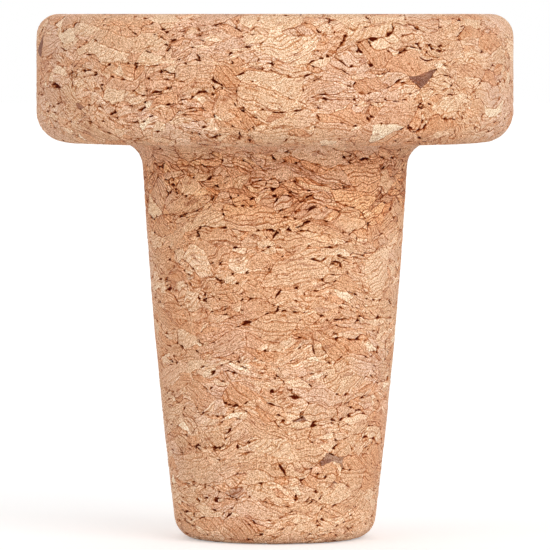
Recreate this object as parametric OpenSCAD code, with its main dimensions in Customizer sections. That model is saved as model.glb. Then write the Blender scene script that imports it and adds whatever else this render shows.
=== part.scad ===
// Cork stopper with a wide round head: a thick disc on a tapered plug, pressed and ground as one
// piece. The plug's side is slightly barrelled, and every edge is rounded over.
// +Z is up. The origin is the centre of the plug's free end, in the plane that the stopper stands on.

/* [Head] */
// Diameter of the head
head_d = 50; // [48:0.5:70]
// Thickness of the head
head_h = 13.4; // [9:0.2:24]
// Rounding of the head's upper edge
head_top_round = 2.3; // [0.5:0.1:4]
// Rounding of the head's lower edge
head_low_round = 3.2; // [0.5:0.1:4]

/* [Plug] */
// Length of the plug below the head
plug_h = 41.6; // [20:0.2:60]
// Diameter that the plug's side would reach at the head's underside
plug_top_d = 28; // [24:0.2:32]
// Diameter that the plug's side would reach at its free end
plug_end_d = 20.6; // [16:0.2:23]
// How far the plug's side bulges beyond a straight taper, at mid length
plug_bulge = 0.4; // [0.1:0.1:1]
// Rounding in the corner between the plug and the head
neck_round = 2.6; // [0.5:0.1:3]
// Rounding of the edge at the plug's free end
end_round = 2.3; // [0.5:0.1:4]

/* [Hidden] */

// Steps along each rounding, along the plug's side, and around the whole stopper
round_steps = 12;
side_steps = 16;
turn_steps = 128;

// The plug's side is one long arc from the free end's edge to the head's underside.
// Both are given as [distance from the axis, height].
end_edge = [plug_end_d / 2, 0];
top_edge = [plug_top_d / 2, plug_h];
chord = norm(top_edge - end_edge);
lean = atan2(top_edge[0] - end_edge[0], plug_h);
side_r = (pow(chord / 2, 2) + pow(plug_bulge, 2)) / (2 * plug_bulge);
side_c = (end_edge + top_edge) / 2 - (side_r - plug_bulge) * [cos(lean), -sin(lean)];

// A rounding whose centre is z high meets that arc smoothly when its centre is reach away from
// the arc's own centre.
function smooth_c(z, reach) = [side_c[0] + sqrt(pow(reach, 2) - pow(z - side_c[1], 2)), z];
end_c = smooth_c(end_round, side_r - end_round);
neck_c = smooth_c(plug_h - neck_round, side_r + neck_round);

// Direction from the side arc's centre to the two roundings, where they meet it
function side_angle(c) = atan2(c[1] - side_c[1], c[0] - side_c[0]);
end_a = side_angle(end_c);
neck_a = side_angle(neck_c);

// Centres of the head's two roundings
total_h = plug_h + head_h;
head_low_c = [head_d / 2 - head_low_round, plug_h + head_low_round];
head_top_c = [head_d / 2 - head_top_round, total_h - head_top_round];

// Points along an arc about c, from angle a0 to angle a1, leaving out skip points at each end
function arc(c, r, a0, a1, steps, skip = 0) = [
    for (i = [skip:steps - skip])
        let (a = a0 + (a1 - a0) * i / steps)
        c + r * [cos(a), sin(a)]
];

// Half section, from the axis out and up to the top
half_section = concat(
    [[0, 0]],
    arc(end_c, end_round, -90, end_a, round_steps),
    arc(side_c, side_r, end_a, neck_a, side_steps, skip = 1),
    arc(neck_c, neck_round, 180 + neck_a, 90, round_steps),
    arc(head_low_c, head_low_round, -90, 0, round_steps),
    arc(head_top_c, head_top_round, 0, 90, round_steps),
    [[0, total_h]]
);

module stopper() {
    color([0.85, 0.66, 0.52])
        rotate_extrude($fn = turn_steps) polygon(half_section);
}

stopper();
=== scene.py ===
"""A cork stopper with a round head, pressed from coarse granules, on a pale studio floor.

The body is turned from the CAD solid's own half section, then roughened by a solid field of
granules: the same field cuts the pits and seams into the mesh and colours them in the material.
"""

import math

import bpy
import numpy as np
from bpy.props import FloatProperty, FloatVectorProperty, IntProperty, PointerProperty
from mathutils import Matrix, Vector, kdtree


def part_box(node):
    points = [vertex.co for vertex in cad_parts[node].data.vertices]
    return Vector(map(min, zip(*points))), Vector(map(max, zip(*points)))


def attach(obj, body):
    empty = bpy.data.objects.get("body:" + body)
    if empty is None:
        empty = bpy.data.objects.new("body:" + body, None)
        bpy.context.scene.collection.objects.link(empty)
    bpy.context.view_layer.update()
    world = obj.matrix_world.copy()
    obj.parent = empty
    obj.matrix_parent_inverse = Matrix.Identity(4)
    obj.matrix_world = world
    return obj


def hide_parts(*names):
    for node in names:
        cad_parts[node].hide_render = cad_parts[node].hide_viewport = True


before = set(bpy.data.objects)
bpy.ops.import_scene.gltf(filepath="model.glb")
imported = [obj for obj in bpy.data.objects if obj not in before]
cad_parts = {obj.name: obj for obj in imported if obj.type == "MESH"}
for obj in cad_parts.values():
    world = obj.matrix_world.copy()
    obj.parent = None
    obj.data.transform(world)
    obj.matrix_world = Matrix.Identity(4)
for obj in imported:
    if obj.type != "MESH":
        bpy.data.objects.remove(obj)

bl_info = {
    "name": "Cork stopper",
    "version": (1, 0, 0),
    "blender": (4, 5, 0),
    "location": "3D View > Sidebar > Cork",
    "description": "Builds a pressed cork stopper with a round head, and a pale stage for it",
    "category": "Add Mesh",
}

# The frame's names for the stopper, its finish and the body that it moves with
NODE = "stopper"
BODY = "root"

MM = 0.001
CAD_LOW, CAD_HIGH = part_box(NODE)
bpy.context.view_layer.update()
# Roughening takes no point below the plane that the stopper stands on, and has no limit sideways
LOWEST = (2 * CAD_LOW.x, 2 * CAD_LOW.y, CAD_LOW.z)

# Attribute that holds each point's place on the smooth ground surface, before pits and seams
GROUND = "ground_surface"
# Attribute that holds which way that surface faces there
FACING = "ground_facing"
# UV layer that the mesh is unwrapped into, named for baking
UV_LAYER = "OFBake"

# From the floor's middle to each side, in m, and how much it glows where it is seen
FLOOR_REACH = 3.0
FLOOR_GLOW = 0.32
# Strength of the surroundings as a light
WORLD_LIGHT = 0.66
# Each lamp's name, strength, and in degrees: how far round from the front to the right, how far up,
# and how wide, which makes it soft
LAMPS = (
    ("key_lamp", 1.46, 38.0, 20.0, 50.0),
    ("fill_lamp", 0.75, -58.0, 8.0, 60.0),
    ("back_lamp", 0.4, 190.0, 30.0, 60.0),
)

FLOAT, VECTOR, COLOR = "NodeSocketFloat", "NodeSocketVector", "NodeSocketColor"
SHADER, GEOMETRY = "ShaderNodeTree", "GeometryNodeTree"


# ---------------------------------------------------------------- settings


class CORK_PG_body(bpy.types.PropertyGroup):
    """Mesh and relief of the stopper."""

    spacing: FloatProperty(
        name="Spacing", description="Distance between mesh points before thinning",
        default=0.14 * MM, min=0.05 * MM, unit="LENGTH")
    triangles: IntProperty(
        name="Triangles", description="Most triangles that the finished mesh has",
        default=190000, min=2000)
    pit_depth: FloatProperty(
        name="Pit depth", description="Depth of the open pits between granules",
        default=0.24 * MM, min=0.0, unit="LENGTH")
    seam_depth: FloatProperty(
        name="Seam depth", description="Depth of the closed seams between granules",
        default=0.05 * MM, min=0.0, unit="LENGTH")
    swell: FloatProperty(
        name="Swell", description="How far each granule stands proud or lies low",
        default=0.05 * MM, min=0.0, unit="LENGTH")


class CORK_PG_finish(bpy.types.PropertyGroup):
    """Grain and colour of the pressed cork."""

    granule_width: FloatProperty(
        name="Granule width", description="Usual width of a granule across the axis",
        default=3.5 * MM, min=0.5 * MM, unit="LENGTH")
    granule_height: FloatProperty(
        name="Granule height", description="Usual height of a granule along the axis",
        default=1.65 * MM, min=0.5 * MM, unit="LENGTH")
    pale: FloatVectorProperty(
        name="Pale", description="Colour of the palest granules",
        subtype="COLOR", default=(0.86, 0.575, 0.37))
    chalk: FloatVectorProperty(
        name="Chalk", description="Colour of a few chalky granules, paler still",
        subtype="COLOR", default=(0.92, 0.70, 0.49))
    tan: FloatVectorProperty(
        name="Tan", description="Colour of most granules",
        subtype="COLOR", default=(0.78, 0.48, 0.29))
    pink: FloatVectorProperty(
        name="Pink", description="Colour of the pinker granules",
        subtype="COLOR", default=(0.78, 0.49, 0.335))
    orange: FloatVectorProperty(
        name="Orange", description="Colour of the warmer granules",
        subtype="COLOR", default=(0.72, 0.34, 0.165))
    russet: FloatVectorProperty(
        name="Russet", description="Colour of the reddish granules and streaks",
        subtype="COLOR", default=(0.38, 0.11, 0.04))
    bark: FloatVectorProperty(
        name="Bark", description="Colour of the few granules with bark in them",
        subtype="COLOR", default=(0.24, 0.095, 0.062))
    # Tone of the belt under the head: painted shade from the head, and partly stain
    neck_shade_tone: FloatVectorProperty(
        name="Neck tone", description="What the corner under the head multiplies the colours by",
        subtype="COLOR", default=(1.0, 0.835, 0.645))


class CORK_PG_stage(bpy.types.PropertyGroup):
    """Floor, light and camera."""

    distance: FloatProperty(
        name="Camera distance", description="From the camera to the stopper's axis",
        default=0.62, min=0.1, unit="LENGTH")
    view_share: FloatProperty(
        name="View width", description="Width seen at the stopper, in widths of the head",
        default=1.156, min=1.0)
    aim_height: FloatProperty(
        name="Aim height", description="Height that the camera looks at, as a share of the stopper's",
        default=0.502, min=0.0, max=1.0, subtype="FACTOR")
    floor_color: FloatVectorProperty(
        name="Floor", description="Colour of the floor", subtype="COLOR",
        default=(0.84, 0.84, 0.84))


# ---------------------------------------------------------------- node helpers


class Graph:
    """Short calls that add linked texture nodes to a shader tree or a geometry tree."""

    # Noise looks this far off for each seed
    SEED_STEP = (17.3, -9.1, 5.7)

    def __init__(self, tree):
        self.tree = tree

    def put(self, socket, value):
        if isinstance(value, bpy.types.NodeSocket):
            self.tree.links.new(value, socket)
        else:
            socket.default_value = value

    def add(self, kind, inputs=(), **settings):
        node = self.tree.nodes.new(kind)
        for name, value in settings.items():
            setattr(node, name, value)
        for key, value in dict(inputs).items():
            self.put(node.inputs[key], value)
        return node

    def math(self, operation, *values, clamp=False):
        node = self.add("ShaderNodeMath", enumerate(values), operation=operation, use_clamp=clamp)
        return node.outputs[0]

    def vector(self, operation, *values):
        node = self.add("ShaderNodeVectorMath", enumerate(values), operation=operation)
        scalar = operation in ("DOT_PRODUCT", "LENGTH", "DISTANCE")
        return node.outputs["Value" if scalar else "Vector"]

    def scale(self, vector, factor):
        node = self.add("ShaderNodeVectorMath", {"Vector": vector, "Scale": factor},
                        operation="SCALE")
        return node.outputs["Vector"]

    def noise(self, place, size, seed, detail=2.0, roughness=0.5, output="Fac"):
        """Noise with lumps about size across. Each seed looks at another part of it."""
        moved = self.vector("ADD", place, [step * seed for step in self.SEED_STEP])
        node = self.add("ShaderNodeTexNoise", {
            "Vector": moved, "Scale": 1.0 / size, "Detail": detail, "Roughness": roughness})
        return node.outputs[output]

    def shift(self, place, size, reach, seed, detail=2.0, roughness=0.5):
        """place, pushed about by up to some reach."""
        color = self.noise(place, size, seed, detail, roughness, "Color")
        push = self.vector("SUBTRACT", color, (0.5, 0.5, 0.5))
        return self.vector("ADD", place, self.scale(push, reach))

    def chance(self, vector):
        """A random number for each value of the vector."""
        return self.add("ShaderNodeTexWhiteNoise", {"Vector": vector}).outputs["Value"]

    def cell(self, place, feature):
        """The nearest (F1) or second nearest (F2) granule: its random colour and its centre."""
        node = self.add("ShaderNodeTexVoronoi", {"Vector": place, "Scale": 1.0},
                        feature=feature, voronoi_dimensions="3D")
        return node.outputs["Color"], node.outputs["Position"]

    def ramp(self, value, low, high, to_low=0.0, to_high=1.0, smooth=True):
        node = self.add("ShaderNodeMapRange", {
            "Value": value, "From Min": low, "From Max": high,
            "To Min": to_low, "To Max": to_high},
            interpolation_type="SMOOTHSTEP" if smooth else "LINEAR", clamp=True)
        return node.outputs["Result"]

    def mix(self, factor, a, b, blend="MIX"):
        """Mixes two colours, or two vectors given as colours."""
        node = self.add("ShaderNodeMix", data_type="RGBA", blend_type=blend)
        self.put(node.inputs["Factor"], factor)
        self.put(node.inputs[6], a)
        self.put(node.inputs[7], b)
        return node.outputs[2]

    def blend(self, factor, a, b):
        """Mixes two numbers."""
        node = self.add("ShaderNodeMix", data_type="FLOAT")
        self.put(node.inputs["Factor"], factor)
        self.put(node.inputs[2], a)
        self.put(node.inputs[3], b)
        return node.outputs[0]

    def split(self, vector):
        node = self.add("ShaderNodeSeparateXYZ", {"Vector": vector})
        return node.outputs[0], node.outputs[1], node.outputs[2]

    def join(self, x, y, z):
        return self.add("ShaderNodeCombineXYZ", {"X": x, "Y": y, "Z": z}).outputs[0]

    def rotate(self, vector, centre, axis, angle):
        node = self.add("ShaderNodeVectorRotate", {
            "Vector": vector, "Center": centre, "Axis": axis, "Angle": angle},
            rotation_type="AXIS_ANGLE")
        return node.outputs[0]

    def group(self, tree, **inputs):
        kind = "ShaderNodeGroup" if self.tree.bl_idname == SHADER else "GeometryNodeGroup"
        node = self.tree.nodes.new(kind)
        node.node_tree = tree
        for name, value in inputs.items():
            self.put(node.inputs[name.replace("_", " ")], value)
        return node


def new_group(name, kind, inputs, outputs):
    """An empty node group with named sockets: its tree, a Graph on it, its input and output."""
    tree = bpy.data.node_groups.new(name, kind)
    for label, socket in inputs:
        tree.interface.new_socket(label, in_out="INPUT", socket_type=socket)
    for label, socket in outputs:
        tree.interface.new_socket(label, in_out="OUTPUT", socket_type=socket)
    return (tree, Graph(tree), tree.nodes.new("NodeGroupInput").outputs,
            tree.nodes.new("NodeGroupOutput").inputs)


def rgba(color):
    return (*color, 1.0)


# ---------------------------------------------------------------- the cork's fields
# All lengths in these groups are in mm, and random numbers go from 0 to 1. A ramp is given by the
# two values between which it runs.

# A seam or line that runs flat under the surface is taken to be at least this steep
LEAST_SLOPE = 0.3
# Grid that granules' centres are rounded to, so that both sides of a seam agree
CENTRE_GRID = (0.02, 0.02, 0.02)

# Share of the granules that stay whole; the others are broken up into flakes
WHOLE_SHARE = 0.36
# A flake's width, depth and height, as shares of a granule's
FLAKE_SHARE = (0.60, 0.60, 0.48)
# Most that a granule's flakes lean either way, in radians
MOST_LEAN = 0.42
# Ways to break up a granule, counted along each axis, and how far apart they are, in flakes
BREAK_WAYS = 7.0
BREAK_STEP = 9.0
# Big granules: how many times the usual size, and the share of the cork that they take up
BIG_SIZE = 1.55
BIG_SHARE = 0.10

# How far the region, and the pair of granules, sway the opening that makes a pit
REGION_SWAY = 0.18
PAIR_SWAY = 0.22
# The opening over which a pit widens, and the widest reach from its seam to its edge
PIT_OPENING = (0.635, 0.95)
WIDEST_PIT = 0.31
# The opening over which the stain round a pit sets in
STAIN_OPENING = (0.58, 0.69)

# Gap between growth lines, for the layers and for the fine lines within them
LAYER_GAP = 1.05
LINE_GAP = 0.42

# The darker, redder belt under the head, partly stain and partly painted shade from the head, by
# depth below the corner: where it sets in, and where it fades out
NECK_SHADE_START = (-1.8, 0.6)
NECK_SHADE_END = (11.0, 5.0)
# How far clouds push it up and down
NECK_SHADE_CLOUDS = 6.0
# How much harder marks show in it
NECK_SHADE_MARKS = 0.72
# The darkest that marks leave the cork, and how much less that is in the painted shade and stain
# under the head
DARKEST = 0.12
NECK_SHADE_DARKEST = -0.06
# Powers for red, green and blue: darker cork is also redder, most of all in lines and pits
SHADE_POWERS = (1.0, 1.45, 1.87)
MARK_POWERS = (0.95, 1.9, 2.9)
# Height of the cell speckle
CELL_HEIGHT = 0.06


def seam_between(g, place, near, far, stretch, facing):
    """Distance along the surface from place to the seam halfway between two granules' centres.

    place and the centres are in stretched space, where the granules are round.
    """
    middle = g.scale(g.vector("ADD", near, far), 0.5)
    across = g.vector("SUBTRACT", far, near)
    height = g.vector("DOT_PRODUCT", across, g.vector("SUBTRACT", middle, place))
    slope = g.vector("DIVIDE", across, stretch)
    steep = g.vector("LENGTH", g.vector("CROSS_PRODUCT", slope, facing))
    least = g.math("MULTIPLY", g.vector("LENGTH", slope), LEAST_SLOPE)
    return g.math("DIVIDE", height, g.math("MAXIMUM", steep, least))


def pair_chance(g, near, far):
    """A random number for each pair of neighbouring granules."""
    return g.chance(g.vector("SNAP", g.vector("ADD", near, far), CENTRE_GRID))


def break_shift(g, tint):
    """How far a granule's flakes are shifted, so that each granule breaks up in its own way."""
    steps = [g.math("FLOOR", g.math("MULTIPLY", part, BREAK_WAYS)) for part in g.split(tint)]
    return g.scale(g.join(*steps), BREAK_STEP)


def make_granules(kind):
    """Group: which granule a place is in, and how far it is from the seam round it."""
    tree, g, given, out = new_group(
        "cork granules", kind,
        [("Place", VECTOR), ("Facing", VECTOR), ("Width", FLOAT), ("Height", FLOAT)],
        [("Tint", VECTOR), ("Seam", FLOAT), ("Bond", FLOAT), ("Flow", VECTOR),
         ("Grain", VECTOR)])
    facing = given["Facing"]
    stretch = g.join(given["Width"], given["Width"], given["Height"])
    flow = g.shift(given["Place"], size=9.0, reach=3.8, seed=1, detail=1.0)
    ragged = g.shift(flow, size=1.9, reach=1.1, seed=2, detail=2.0, roughness=0.38)
    place = g.vector("DIVIDE", ragged, stretch)

    tint, near = g.cell(place, "F1")
    _, far = g.cell(place, "F2")
    seam = seam_between(g, place, near, far, stretch, facing)
    bond = pair_chance(g, near, far)

    # Some granules are broken up into flat flakes, which lie askew in their own way
    centre = g.vector("MULTIPLY", near, stretch)
    axis = g.vector("MULTIPLY", centre, (1.0, 1.0, 0.0))
    askew = g.ramp(g.split(tint)[0], 0.0, 1.0, -MOST_LEAN, MOST_LEAN, smooth=False)
    turned = g.rotate(ragged, centre, axis, askew)
    flake_facing = g.rotate(facing, (0.0, 0.0, 0.0), axis, askew)
    flake_grain = g.rotate((0.0, 0.0, 1.0), (0.0, 0.0, 0.0), axis,
                           g.math("MULTIPLY", askew, -1.0))
    flake_stretch = g.vector("MULTIPLY", stretch, FLAKE_SHARE)
    flake_place = g.vector("DIVIDE", turned, flake_stretch)
    flake_place = g.vector("ADD", flake_place, break_shift(g, tint))
    flake_tint, flake_near = g.cell(flake_place, "F1")
    _, flake_far = g.cell(flake_place, "F2")
    flake_seam = seam_between(g, flake_place, flake_near, flake_far, flake_stretch,
                              flake_facing)
    flake_bond = pair_chance(g, flake_near, flake_far)

    broken = g.math("GREATER_THAN", g.split(tint)[2], WHOLE_SHARE)
    inner = g.math("LESS_THAN", flake_seam, seam)
    use_inner = g.math("MULTIPLY", broken, inner)
    tint = g.mix(broken, tint, flake_tint)
    seam = g.blend(use_inner, seam, flake_seam)
    bond = g.blend(use_inner, bond, flake_bond)
    grain = g.mix(broken, (0.0, 0.0, 1.0, 1.0), flake_grain)

    # Here and there one big granule, pale to tan, lies in the place of several
    outline = g.shift(flow, size=2.4, reach=1.3, seed=18, detail=2.0, roughness=0.45)
    big_stretch = g.scale(stretch, BIG_SIZE)
    big_place = g.vector("DIVIDE", outline, big_stretch)
    big_tint, big_near = g.cell(big_place, "F1")
    next_tint, big_far = g.cell(big_place, "F2")
    big_seam = seam_between(g, big_place, big_near, big_far, big_stretch, facing)
    first, second, third = g.split(big_tint)
    here = g.math("LESS_THAN", third, BIG_SHARE)
    beside = g.math("LESS_THAN", g.split(next_tint)[2], BIG_SHARE)
    beside = g.math("MULTIPLY", beside, g.math("LESS_THAN", big_seam, seam))
    use_big = g.math("MAXIMUM", here, beside)
    big_tint = g.join(g.math("MULTIPLY_ADD", first, 0.55, 0.06), second,
                      g.math("DIVIDE", third, BIG_SHARE))
    g.put(out["Tint"], g.mix(here, tint, big_tint))
    g.put(out["Seam"], g.blend(use_big, seam, big_seam))
    g.put(out["Bond"], g.blend(use_big, bond, pair_chance(g, big_near, big_far)))
    g.put(out["Grain"], g.mix(here, grain, (0.0, 0.0, 1.0, 1.0)))
    g.put(out["Flow"], ragged)
    return tree


def make_relief(kind, granules):
    """Group: how deep the surface lies below the ground surface, and where the pits are."""
    tree, g, given, out = new_group(
        "cork relief", kind,
        [("Place", VECTOR), ("Facing", VECTOR), ("Width", FLOAT), ("Height", FLOAT),
         ("Pit depth", FLOAT), ("Seam depth", FLOAT), ("Swell", FLOAT)],
        [("Rise", FLOAT), ("Pit", FLOAT), ("Stain", FLOAT), ("Tint", VECTOR), ("Seam", FLOAT),
         ("Bond", FLOAT), ("Flow", VECTOR), ("Grain", VECTOR)])
    place = given["Place"]
    field = g.group(granules, Place=place, Facing=given["Facing"], Width=given["Width"],
                    Height=given["Height"]).outputs
    for name in ("Tint", "Seam", "Bond", "Flow", "Grain"):
        g.put(out[name], field[name])

    # Pits open along a seam where its random opening is wide
    opening = g.noise(g.vector("MULTIPLY", field["Flow"], (1.0, 1.0, 1.6)), size=0.75, seed=5,
                      detail=1.0)
    region = g.noise(place, size=4.0, seed=13, detail=1.0)
    for sway, value in ((REGION_SWAY, region), (PAIR_SWAY, field["Bond"])):
        opening = g.math("MULTIPLY_ADD", g.math("SUBTRACT", value, 0.5), sway, opening)
    width = g.ramp(opening, *PIT_OPENING, 0.0, WIDEST_PIT, smooth=False)
    inside = g.math("SUBTRACT", field["Seam"], width)
    pit = g.ramp(inside, 0.0, -0.025)
    g.put(out["Pit"], pit)
    g.put(out["Stain"], g.math("MULTIPLY", g.ramp(inside, 0.13, -0.01),
                               g.ramp(opening, *STAIN_OPENING)))

    seam = g.ramp(field["Seam"], 0.14, 0.0)
    swell = g.math("SUBTRACT", g.split(field["Tint"])[1], 0.5)
    wave = g.math("SUBTRACT", g.noise(place, size=7.0, seed=7, detail=2.0), 0.5)
    rise = g.math("MULTIPLY", g.math("ADD", swell, wave), given["Swell"])
    rise = g.math("SUBTRACT", rise, g.math("MULTIPLY", seam, given["Seam depth"]))
    rise = g.math("SUBTRACT", rise, g.math("MULTIPLY", pit, given["Pit depth"]))
    g.put(out["Rise"], rise)
    return tree


def make_lines():
    """Group: one set of growth lines in a granule, about a gap apart, and its layers between."""
    tree, g, given, out = new_group(
        "cork growth lines", SHADER,
        [("Place", VECTOR), ("Flow", VECTOR), ("Facing", VECTOR), ("Tint", VECTOR),
         ("Grain", VECTOR), ("Gap", FLOAT)],
        [("Line", FLOAT), ("Chance", FLOAT)])
    first, second, third = g.split(given["Tint"])
    own = g.vector("SUBTRACT", given["Tint"], (0.5, 0.5, 0.5))
    turn = g.vector("NORMALIZE", g.vector("ADD", g.scale(own, 0.7), g.scale(given["Grain"], 0.6)))
    wavy = g.shift(given["Flow"], size=2.2, reach=0.8, seed=9, detail=1.0, roughness=0.5)
    gap = g.math("MULTIPLY", given["Gap"], g.ramp(second, 0.0, 1.0, 0.7, 1.3, smooth=False))
    along = g.math("DIVIDE", g.vector("DOT_PRODUCT", wavy, turn), gap)
    steep = g.vector("LENGTH", g.vector("CROSS_PRODUCT", turn, given["Facing"]))
    away = g.math("ABSOLUTE", g.math("SUBTRACT", g.math("FRACT", along), 0.5))
    away = g.math("DIVIDE", g.math("MULTIPLY", away, gap), g.math("MAXIMUM", steep, LEAST_SLOPE))
    line = g.ramp(away, 0.054, 0.01)
    # Painted highlight: a pale rim on both sides of the line lightens the cork there
    highlight_rim = g.math("MULTIPLY", g.ramp(away, 0.05, 0.10), g.ramp(away, 0.20, 0.11))
    line = g.math("MULTIPLY_ADD", highlight_rim, -0.12, line)
    layer = g.join(g.math("FLOOR", g.math("ADD", along, 0.5)), first, third)
    line_chance = g.chance(g.join(g.math("FLOOR", along), third, first))
    fade = g.noise(given["Place"], size=1.3, seed=10, detail=1.5)
    fade = g.ramp(g.math("MULTIPLY_ADD", line_chance, 0.38, fade), 0.47, 0.80)
    g.put(out["Line"], g.math("MULTIPLY", line, fade))
    g.put(out["Chance"], g.chance(layer))
    return tree


def granule_colour(g, given, tint, layers, cloud):
    """Each granule's own colour, and each layer's a little off it."""
    first, second, third = g.split(tint)
    cast = g.noise(given["Place"], size=12.0, seed=22, detail=1.0)
    cast = g.math("MULTIPLY_ADD", second, 0.12, cast)
    warm = g.noise(given["Place"], size=14.0, seed=32, detail=1.0)
    color = given["Tan"]
    # Value that decides, where the change starts and is full, how far it goes, and to which colour
    for value, start, full, most, name in (
            (cast, 0.44, 0.68, 1.0, "Pink"),
            (warm, 0.46, 0.72, 0.6, "Orange"),
            (first, 0.28, 0.10, 0.85, "Pale"),
            (first, 0.035, 0.005, 0.9, "Chalk"),
            (first, 0.66, 0.96, 0.68, "Orange"),
            (third, 0.985, 0.990, 0.5, "Russet"),
            (second, 0.9965, 0.9975, 0.9, "Bark"),
            (cloud, 0.55, 0.80, 0.4, "Orange"),
            (cloud, 0.43, 0.24, 0.4, "Pale"),
            (layers["Chance"], 0.70, 1.0, 0.22, "Orange"),
            (layers["Chance"], 0.30, 0.0, 0.25, "Pale")):
        color = g.mix(g.ramp(value, start, full, 0.0, most), color, given[name])
    return color


def neck_shade_mask(g, given, cloud):
    """1 in the belt of painted shade and stain under the head, which goes a little way down the plug,
    and 0 elsewhere.
    """
    depth = g.math("SUBTRACT", given["Neck"], g.split(given["Place"])[2])
    depth = g.math("MULTIPLY_ADD", g.math("SUBTRACT", cloud, 0.5), NECK_SHADE_CLOUDS, depth)
    return g.math("MULTIPLY", g.ramp(depth, *NECK_SHADE_END), g.ramp(depth, *NECK_SHADE_START))


def seam_lines(g, place, field, neck):
    """Thin dark lines along the seams, different for each pair of granules."""
    thin = g.ramp(field["Seam"], 0.062, 0.012)
    strength = g.math("MULTIPLY_ADD", g.math("POWER", field["Bond"], 1.6), 0.70, 0.11)
    # Seam lines show stronger in the belt of painted shade and stain under the head
    strength = g.math("MULTIPLY_ADD", neck, 0.10, strength)
    broken = g.ramp(g.noise(place, size=0.9, seed=12, detail=1.5), 0.36, 0.57)
    return g.math("MULTIPLY", thin, g.math("MULTIPLY", strength, broken))


def light_left(g, place, field, layers, lines, neck):
    """What growth lines, seams, stains, pits and flecks leave of the light: 1 where none are. In the
    pits this darkening is painted shade, on top of the shade from their real depth.
    """
    plain = g.ramp(g.split(field["Tint"])[0], 0.04, 0.15, 0.35, 1.0)
    fleck = g.noise(g.vector("MULTIPLY", field["Flow"], (1.0, 1.0, 1.7)), size=0.34, seed=23,
                    detail=1.0)
    left = 1.0
    # Each mark, and the share of the light that it takes
    for mark, taken in ((g.math("MULTIPLY", layers["Line"], plain), 0.52),
                        (g.math("MULTIPLY", lines["Line"], plain), 0.38),
                        (seam_lines(g, place, field, neck), 0.86),
                        (field["Stain"], 0.50),
                        # Painted shade: the pits' colour goes dark, on top of the shade from their
                        # real depth
                        (field["Pit"], 0.88),
                        (g.math("MULTIPLY", g.ramp(fleck, 0.60, 0.72), plain), 0.34)):
        left = g.math("MULTIPLY", left, g.math("MULTIPLY_ADD", mark, -taken, 1.0))
    # Marks show harder, and go darker, in the belt of painted shade and stain under the head
    left = g.math("POWER", left, g.math("MULTIPLY_ADD", neck, NECK_SHADE_MARKS, 1.0))
    return g.math("MAXIMUM", left, g.math("MULTIPLY_ADD", neck, NECK_SHADE_DARKEST, DARKEST))


def red_stain(g, field, neck, cloud):
    """How far the cork is stained russet: beside seams, and in streaks."""
    # The belt of painted shade and stain under the head brings more russet beside the seams and in
    # the streaks
    beside = g.math("MULTIPLY", g.ramp(field["Seam"], 0.40, 0.0),
                    g.ramp(g.math("MULTIPLY_ADD", neck, 0.08, cloud), 0.52, 0.68))
    streak = g.noise(g.vector("MULTIPLY", field["Flow"], (1.0, 1.0, 3.2)), size=1.6, seed=17,
                     detail=2.0)
    streak = g.ramp(g.math("MULTIPLY_ADD", neck, 0.03, streak), 0.63, 0.70)
    return g.math("MAXIMUM", g.math("MULTIPLY", beside, 0.45), g.math("MULTIPLY", streak, 0.55))


def powers(g, value, exponents):
    """The value raised to one power each for red, green and blue."""
    return g.join(*(g.math("POWER", value, exponent) for exponent in exponents))


def make_colour(relief):
    """Group: colour, roughness and fine height of pressed cork."""
    tree, g, given, out = new_group(
        "cork colour", SHADER,
        [("Place", VECTOR), ("Facing", VECTOR), ("Width", FLOAT), ("Height", FLOAT),
         ("Neck", FLOAT), ("Chalk", COLOR), ("Pale", COLOR), ("Tan", COLOR), ("Pink", COLOR),
         ("Orange", COLOR), ("Russet", COLOR), ("Bark", COLOR), ("Neck tone", COLOR)],
        [("Color", COLOR), ("Roughness", FLOAT), ("Height", FLOAT)])
    place = given["Place"]
    field = g.group(relief, Place=place, Facing=given["Facing"], Width=given["Width"],
                    Height=given["Height"]).outputs
    line_tree = make_lines()
    layers, lines = (
        g.group(line_tree, Place=place, Flow=field["Flow"], Facing=given["Facing"],
                Tint=field["Tint"], Grain=field["Grain"], Gap=gap).outputs
        for gap in (LAYER_GAP, LINE_GAP))
    third = g.split(field["Tint"])[2]
    cloud = g.noise(place, size=2.4, seed=8, detail=3.0, roughness=0.6)
    # neck: the belt of painted shade and stain under the head
    neck = neck_shade_mask(g, given, cloud)

    # Cell speckle, and painted highlights: pale rims beside the seams
    shade = g.ramp(third, 0.0, 1.0, 0.94, 1.07, smooth=False)
    speck = g.noise(place, size=0.11, seed=11, detail=1.0, roughness=0.7)
    shade = g.math("MULTIPLY", shade, g.ramp(speck, 0.25, 0.75, 0.38, 1.62, smooth=False))
    # Painted highlight beside each seam
    highlight_rim = g.math("MULTIPLY", g.ramp(field["Seam"], 0.06, 0.11), g.ramp(field["Seam"], 0.24, 0.13))
    shade = g.math("MULTIPLY_ADD", highlight_rim, 0.14, shade)

    left = light_left(g, place, field, layers, lines, neck)
    tone = g.vector("MULTIPLY", powers(g, shade, SHADE_POWERS), powers(g, left, MARK_POWERS))
    color = granule_colour(g, given, field["Tint"], layers, cloud)
    color = g.mix(red_stain(g, field, neck, cloud), color, given["Russet"])
    color = g.mix(1.0, color, tone, blend="MULTIPLY")
    # Painted shade and stain under the head: there the colour is multiplied by a darker, redder tone
    taken = g.math("MULTIPLY", neck, g.ramp(third, 0.1, 0.9, 0.45, 1.0))
    color = g.mix(taken, color, g.mix(1.0, color, given["Neck tone"], blend="MULTIPLY"))
    g.put(out["Color"], color)
    g.put(out["Roughness"], g.ramp(speck, 0.3, 0.7, 0.72, 0.9, smooth=False))
    g.put(out["Height"], g.math("MULTIPLY", speck, CELL_HEIGHT))
    return tree


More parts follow.
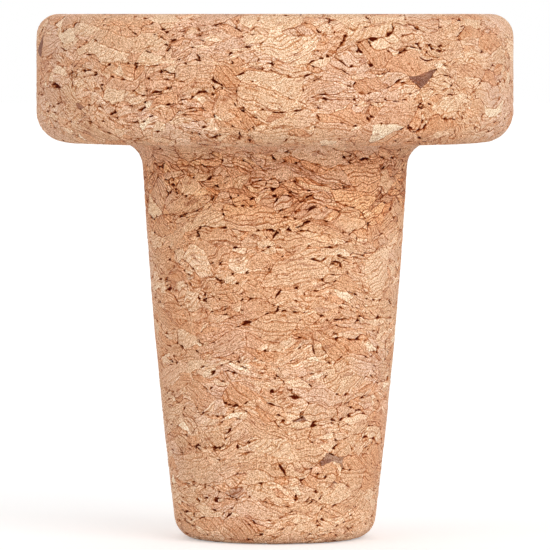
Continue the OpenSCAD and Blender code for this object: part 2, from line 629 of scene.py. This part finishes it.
def make_cork(finish, relief, neck):
    """The stopper's material. neck is the height of the corner under the head."""
    material = bpy.data.materials.new("pressed_cork")
    material.use_nodes = True
    tree = material.node_tree
    g = Graph(tree)
    shader = tree.nodes["Principled BSDF"]
    ground = g.add("ShaderNodeAttribute", attribute_type="GEOMETRY", attribute_name=GROUND)
    facing = g.add("ShaderNodeAttribute", attribute_type="GEOMETRY", attribute_name=FACING)
    colour = g.group(
        make_colour(relief), Place=g.scale(ground.outputs["Vector"], 1.0 / MM),
        Facing=g.vector("NORMALIZE", facing.outputs["Vector"]),
        Width=finish.granule_width / MM, Height=finish.granule_height / MM,
        Neck=neck / MM, Chalk=rgba(finish.chalk), Pale=rgba(finish.pale), Tan=rgba(finish.tan),
        Pink=rgba(finish.pink), Orange=rgba(finish.orange), Russet=rgba(finish.russet),
        Bark=rgba(finish.bark), Neck_tone=rgba(finish.neck_shade_tone)).outputs
    g.put(shader.inputs["Base Color"], colour["Color"])
    g.put(shader.inputs["Roughness"], colour["Roughness"])
    shader.inputs["Specular IOR Level"].default_value = 0.01
    shader.inputs["Sheen Weight"].default_value = 0.11
    shader.inputs["Sheen Roughness"].default_value = 0.5
    bump = g.add("ShaderNodeBump", {"Height": colour["Height"], "Strength": 1.0,
                                    "Distance": MM})
    g.put(shader.inputs["Normal"], bump.outputs["Normal"])
    return material


# ---------------------------------------------------------------- the stopper's mesh


class Section:
    """The CAD solid's half section, from the foot's centre round to the top's centre.

    length runs along it; radius and height say where it is; tilt is its outward normal's height,
    from -1 where it faces down to 1 where it faces up. All are in metres.
    """

    STEP = 0.02 * MM
    SOFTEN = 0.5 * MM

    def __init__(self, node):
        rings = sorted({(round(v.co.z, 6), round(math.hypot(v.co.x, v.co.y), 6))
                        for v in node.data.vertices})
        corners = [(0.0, rings[0][0])] + [(r, z) for z, r in rings] + [(0.0, rings[-1][0])]
        radius, height = np.array(corners).T
        along = np.concatenate([[0.0], np.cumsum(np.hypot(np.diff(radius), np.diff(height)))])
        count = int(along[-1] / self.STEP)
        self.length = np.linspace(0.0, along[-1], count)
        self.radius = self.soften(np.interp(self.length, along, radius))
        self.height = self.soften(np.interp(self.length, along, height))
        self.tilt = -np.gradient(self.radius) / np.hypot(
            np.gradient(self.radius), np.gradient(self.height))

    def soften(self, values):
        """Smooths the CAD arcs' short steps away and keeps both ends where they are."""
        window = int(self.SOFTEN / self.STEP)
        kernel = np.full(window, 1.0 / window)
        smooth = np.convolve(values, kernel, mode="same")
        smooth[:window] = values[:window]
        smooth[-window:] = values[-window:]
        return smooth

    def edges(self):
        """Lengths where it turns between flat and steep: foot, neck, head's underside, top."""
        flat = np.abs(self.tilt) > math.sqrt(0.5)
        return self.length[1:][np.diff(flat.astype(int)) != 0]

    def at(self, length):
        return (np.interp(length, self.length, self.radius),
                np.interp(length, self.length, self.height))


def ring_sizes(radii, spacing, least=12):
    """How many points each ring has: least, doubled until they are about spacing apart."""
    doublings = np.log2(np.maximum(2 * np.pi * radii / (least * spacing), 1.0))
    return least * 2 ** np.round(doublings).astype(int)


def ribbon(first, count_a, second, count_b):
    """Triangles between two rings of points, of which one may have twice the other's points."""
    i = np.arange(min(count_a, count_b))
    if count_a == count_b:
        a, b = first + i, second + i
        a2, b2 = first + (i + 1) % count_a, second + (i + 1) % count_b
        return np.concatenate([np.stack([a, a2, b2], 1), np.stack([a, b2, b], 1)])
    if count_a > count_b:
        a, a2, a3 = (first + (2 * i + k) % count_a for k in range(3))
        b, b2 = second + i, second + (i + 1) % count_b
        return np.concatenate([np.stack([a, a2, b], 1), np.stack([a2, b2, b], 1),
                               np.stack([a2, a3, b2], 1)])
    return ribbon(second, count_b, first, count_a)[:, ::-1]


def turned_mesh(name, section, spacing):
    """The section turned about the axis, as an even net of triangles."""
    lengths = np.linspace(0.0, section.length[-1], int(section.length[-1] / spacing) + 1)[1:-1]
    radii, heights = section.at(lengths)
    counts = ring_sizes(radii, spacing)
    starts = np.concatenate([[1], 1 + np.cumsum(counts)])
    points = [np.array([[0.0, 0.0, section.height[0]]])]
    for radius, height, count in zip(radii, heights, counts):
        angle = 2 * np.pi * np.arange(count) / count
        points.append(np.stack([radius * np.cos(angle), radius * np.sin(angle),
                                np.full(count, height)], 1))
    points.append(np.array([[0.0, 0.0, section.height[-1]]]))

    def fan(centre, start, count):
        i = np.arange(count)
        return np.stack([np.full(count, centre), start + i, start + (i + 1) % count], 1)

    last = len(counts) - 1
    faces = [fan(0, starts[0], counts[0])[:, ::-1]]
    for k in range(last):
        faces.append(ribbon(starts[k], counts[k], starts[k + 1], counts[k + 1]))
    faces.append(fan(starts[-1], starts[last], counts[last]))
    return mesh_from(name, np.concatenate(points), np.concatenate(faces))


def mesh_from(name, points, triangles):
    mesh = bpy.data.meshes.new(name)
    mesh.vertices.add(len(points))
    mesh.vertices.foreach_set("co", points.astype(np.float32).ravel())
    mesh.loops.add(triangles.size)
    mesh.loops.foreach_set("vertex_index", triangles.astype(np.int32).ravel())
    mesh.polygons.add(len(triangles))
    mesh.polygons.foreach_set("loop_start", np.arange(0, triangles.size, 3, dtype=np.int32))
    mesh.update(calc_edges=True)
    mesh.validate()
    return mesh


def roughen_tree(relief, body, finish):
    """Geometry nodes that sink the pits and seams into the ground surface."""
    tree, g, given, out = new_group(
        "roughen", GEOMETRY,
        [("Geometry", "NodeSocketGeometry")], [("Geometry", "NodeSocketGeometry")])
    place = g.scale(g.add("GeometryNodeInputPosition").outputs[0], 1.0 / MM)
    normal = g.add("GeometryNodeInputNormal").outputs[0]
    rise = g.group(relief, Place=place, Facing=normal, Width=finish.granule_width / MM,
                   Height=finish.granule_height / MM, Pit_depth=body.pit_depth / MM,
                   Seam_depth=body.seam_depth / MM, Swell=body.swell / MM).outputs["Rise"]
    offset = g.scale(normal, g.math("MULTIPLY", rise, MM))
    target = g.vector("ADD", g.add("GeometryNodeInputPosition").outputs[0], offset)
    target = g.vector("MAXIMUM", target, LOWEST)
    moved = g.add("GeometryNodeSetPosition", {"Geometry": given[0], "Position": target})
    g.put(out[0], moved.outputs[0])
    return tree


def baked_modifiers(obj):
    """Turns the object's modifiers into plain mesh."""
    depsgraph = bpy.context.evaluated_depsgraph_get()
    mesh = bpy.data.meshes.new_from_object(obj.evaluated_get(depsgraph))
    obj.modifiers.clear()
    old = obj.data
    obj.data = mesh
    bpy.data.meshes.remove(old)


def points_of(mesh):
    points = np.empty(len(mesh.vertices) * 3, np.float32)
    mesh.vertices.foreach_get("co", points)
    return points.reshape(-1, 3).astype(float)


def lay_out(mesh, section):
    """Stores each point's place on the ground surface, and unwraps the mesh for baking."""
    points = points_of(mesh)
    tree = kdtree.KDTree(len(section.length))
    for i, (radius, height) in enumerate(zip(section.radius, section.height)):
        tree.insert((radius, 0.0, height), i)
    tree.balance()
    reach = np.hypot(points[:, 0], points[:, 1])
    nearest = np.array([tree.find((r, 0.0, z))[1] for r, z in zip(reach, points[:, 2])])
    angle = np.arctan2(points[:, 1], points[:, 0])
    ground = np.stack([section.radius[nearest] * np.cos(angle),
                       section.radius[nearest] * np.sin(angle), section.height[nearest]], 1)
    out = np.sqrt(np.maximum(1.0 - section.tilt[nearest] ** 2, 0.0))
    facing = np.stack([out * np.cos(angle), out * np.sin(angle), section.tilt[nearest]], 1)
    for name, values in ((GROUND, ground), (FACING, facing)):
        attribute = mesh.attributes.new(name, "FLOAT_VECTOR", "POINT")
        attribute.data.foreach_set("vector", values.astype(np.float32).ravel())
    unwrap(mesh, section, section.length[nearest], angle)


def unwrap(mesh, section, length, angle):
    """Flat charts: foot, plug, underside, two halves of the head's side, and top."""
    corners = np.empty(len(mesh.loops), np.int32)
    mesh.loops.foreach_get("vertex_index", corners)
    corners = corners.reshape(-1, 3)
    foot, neck, low, top = section.edges()
    face_length = length[corners].mean(1)
    spin = np.unwrap(angle[corners], axis=1)
    face_angle = spin.mean(1)
    turns = np.floor((face_angle + np.pi) / (2 * np.pi)) * 2 * np.pi
    spin = spin - turns[:, None]
    face_angle = face_angle - turns
    along = length[corners]
    end = section.length[-1]

    def disc(centre, radius):
        return np.stack([centre[0] + radius * np.cos(spin), centre[1] + radius * np.sin(spin)],
                        -1)

    gap = 1.2 * MM
    head_r, plug_r = section.radius.max(), section.at(neck)[0]
    top_reach = end - top
    under_r = plug_r + (low - neck)
    plug_width = 2 * np.pi * plug_r
    side_width = np.pi * head_r
    row = 2 * max(top_reach, under_r) + gap
    uv = np.zeros((*corners.shape, 2))
    charts = [
        (face_length < foot,
         disc((2 * top_reach + under_r + 2 * gap, row / 2), along)),
        ((face_length >= foot) & (face_length < neck),
         np.stack([gap + plug_width / 2 + spin * plug_r, row + gap + along - foot], -1)),
        ((face_length >= neck) & (face_length < low),
         disc((2 * top_reach + under_r + 2 * gap, row / 2), plug_r + along - neck)),
        (face_length >= top, disc((top_reach + gap, row / 2), end - along)),
    ]
    side_row = row + 2 * gap + (neck - foot)
    for half in (0, 1):
        picked = (face_length >= low) & (face_length < top) & ((face_angle > 0) == bool(half))
        across = spin * head_r + (0 if half else side_width)
        lift = side_row + half * (top - low + gap)
        charts.append((picked, np.stack([gap + across, lift + along - low], -1)))
    for picked, flat_uv in charts:
        uv[picked] = flat_uv[picked]
    size = max(uv.reshape(-1, 2).max(0)) + gap
    layer = mesh.uv_layers.new(name=UV_LAYER)
    layer.data.foreach_set("uv", (uv / size).astype(np.float32).ravel())


class CORK_OT_stopper(bpy.types.Operator):
    """Build the stopper's body and give it its pressed cork finish"""

    bl_idname = "cork.stopper"
    bl_label = "Stopper"

    def execute(self, context):
        body, finish = context.scene.cork_body, context.scene.cork_finish
        section = Section(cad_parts[NODE])
        spacing = body.spacing * 1.0
        piece = bpy.data.objects.new("cork_body", turned_mesh("cork_body", section, spacing))
        context.scene.collection.objects.link(piece)

        relief = make_relief(GEOMETRY, make_granules(GEOMETRY))
        roughen = piece.modifiers.new("roughen", "NODES")
        roughen.node_group = roughen_tree(relief, body, finish)
        baked_modifiers(piece)
        many = len(piece.data.polygons)
        if many > body.triangles:
            thin = piece.modifiers.new("thin out", "DECIMATE")
            thin.ratio = body.triangles / many
            baked_modifiers(piece)
        lay_out(piece.data, section)
        piece.data.shade_smooth()

        shader_relief = make_relief(SHADER, make_granules(SHADER))
        neck = section.at(section.edges()[1])[1]
        piece.data.materials.clear()
        piece.data.materials.append(make_cork(finish, shader_relief, neck))
        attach(piece, BODY)
        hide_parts(NODE)
        return {"FINISHED"}


# ---------------------------------------------------------------- stage


def make_floor(color):
    """Pale floor that also glows a little where it is seen, so that it runs out to white."""
    material = bpy.data.materials.new("pale_floor")
    material.use_nodes = True
    g = Graph(material.node_tree)
    shader = material.node_tree.nodes["Principled BSDF"]
    shader.inputs["Base Color"].default_value = rgba(color)
    shader.inputs["Roughness"].default_value = 1.0
    shader.inputs["Specular IOR Level"].default_value = 0.0
    shader.inputs["Emission Color"].default_value = (1.0, 1.0, 1.0, 1.0)
    rays = g.add("ShaderNodeLightPath").outputs
    seen = g.math("MAXIMUM", rays["Is Camera Ray"], rays["Is Glossy Ray"])
    g.put(shader.inputs["Emission Strength"], g.math("MULTIPLY", seen, FLOOR_GLOW))
    return material


def make_world(scene, strength):
    """White surroundings: pure white where seen, and softer as a light."""
    world = bpy.data.worlds.new("studio")
    world.use_nodes = True
    scene.world = world
    g = Graph(world.node_tree)
    background = world.node_tree.nodes["Background"]
    background.inputs["Color"].default_value = (1.0, 1.0, 1.0, 1.0)
    rays = g.add("ShaderNodeLightPath").outputs
    g.put(background.inputs["Strength"], g.blend(rays["Is Camera Ray"], strength, 1.0))


def add_sun(scene, name, strength, azimuth, elevation, softness):
    """A soft lamp that shines from azimuth, counted from the front towards the right."""
    lamp = bpy.data.lights.new(name, "SUN")
    lamp.energy = strength
    lamp.angle = math.radians(softness)
    obj = bpy.data.objects.new(name, lamp)
    scene.collection.objects.link(obj)
    a, e = math.radians(azimuth), math.radians(elevation)
    towards = Vector((math.sin(a) * math.cos(e), -math.cos(a) * math.cos(e), math.sin(e)))
    obj.rotation_mode = "QUATERNION"
    obj.rotation_quaternion = towards.to_track_quat("Z", "Y")


def add_camera(scene, stage):
    """Level with the head's top, tipped down a little to look at the stopper's middle."""
    camera = bpy.data.cameras.new("camera")
    obj = bpy.data.objects.new("camera", camera)
    scene.collection.objects.link(obj)
    scene.camera = obj
    size = CAD_HIGH - CAD_LOW
    aim = (CAD_LOW + CAD_HIGH) / 2
    aim.z = CAD_LOW.z + stage.aim_height * size.z
    obj.location = Vector((aim.x, aim.y - stage.distance, CAD_HIGH.z))
    back = obj.location - aim
    obj.rotation_mode = "QUATERNION"
    obj.rotation_quaternion = back.to_track_quat("Z", "Y")
    camera.lens = camera.sensor_width * back.length / (stage.view_share * size.x)
    camera.clip_start, camera.clip_end = 0.01, 100.0


class CORK_OT_stage(bpy.types.Operator):
    """Lay the floor, hang the lamps and set the camera"""

    bl_idname = "cork.stage"
    bl_label = "Stage"

    def execute(self, context):
        scene, stage = context.scene, context.scene.cork_stage
        mesh = bpy.data.meshes.new("floor")
        corners = [(x * FLOOR_REACH, y * FLOOR_REACH, 0.0)
                   for x, y in ((-1, -1), (1, -1), (1, 1), (-1, 1))]
        mesh.from_pydata(corners, [], [(0, 1, 2, 3)])
        floor = bpy.data.objects.new("floor", mesh)
        floor.location.z = CAD_LOW.z
        scene.collection.objects.link(floor)
        mesh.materials.append(make_floor(stage.floor_color))
        make_world(scene, WORLD_LIGHT)
        for lamp in LAMPS:
            add_sun(scene, *lamp)
        add_camera(scene, stage)
        scene.view_settings.view_transform = "Standard"
        return {"FINISHED"}


class CORK_PT_panel(bpy.types.Panel):
    """Sidebar panel with the stopper's steps and settings"""

    bl_idname = "CORK_PT_panel"
    bl_label = "Cork stopper"
    bl_space_type = "VIEW_3D"
    bl_region_type = "UI"
    bl_category = "Cork"

    def draw(self, context):
        layout = self.layout
        for operator, group in STEPS:
            box = layout.box()
            box.operator(operator.bl_idname)
            for name in group:
                settings = getattr(context.scene, name)
                for key in settings.bl_rna.properties.keys():
                    if key not in ("name", "rna_type"):
                        box.prop(settings, key)


STEPS = (
    (CORK_OT_stopper, ("cork_body", "cork_finish")),
    (CORK_OT_stage, ("cork_stage",)),
)
GROUPS = (("cork_body", CORK_PG_body), ("cork_finish", CORK_PG_finish),
          ("cork_stage", CORK_PG_stage))
CLASSES = (CORK_PG_body, CORK_PG_finish, CORK_PG_stage, CORK_OT_stopper, CORK_OT_stage,
           CORK_PT_panel)


def register():
    for cls in CLASSES:
        bpy.utils.register_class(cls)
    for name, group in GROUPS:
        setattr(bpy.types.Scene, name, PointerProperty(type=group))


def unregister():
    for name, _ in GROUPS:
        delattr(bpy.types.Scene, name)
    for cls in reversed(CLASSES):
        bpy.utils.unregister_class(cls)


def main():
    register()
    bpy.ops.cork.stopper()
    bpy.ops.cork.stage()


if __name__ == "__main__":
    main()
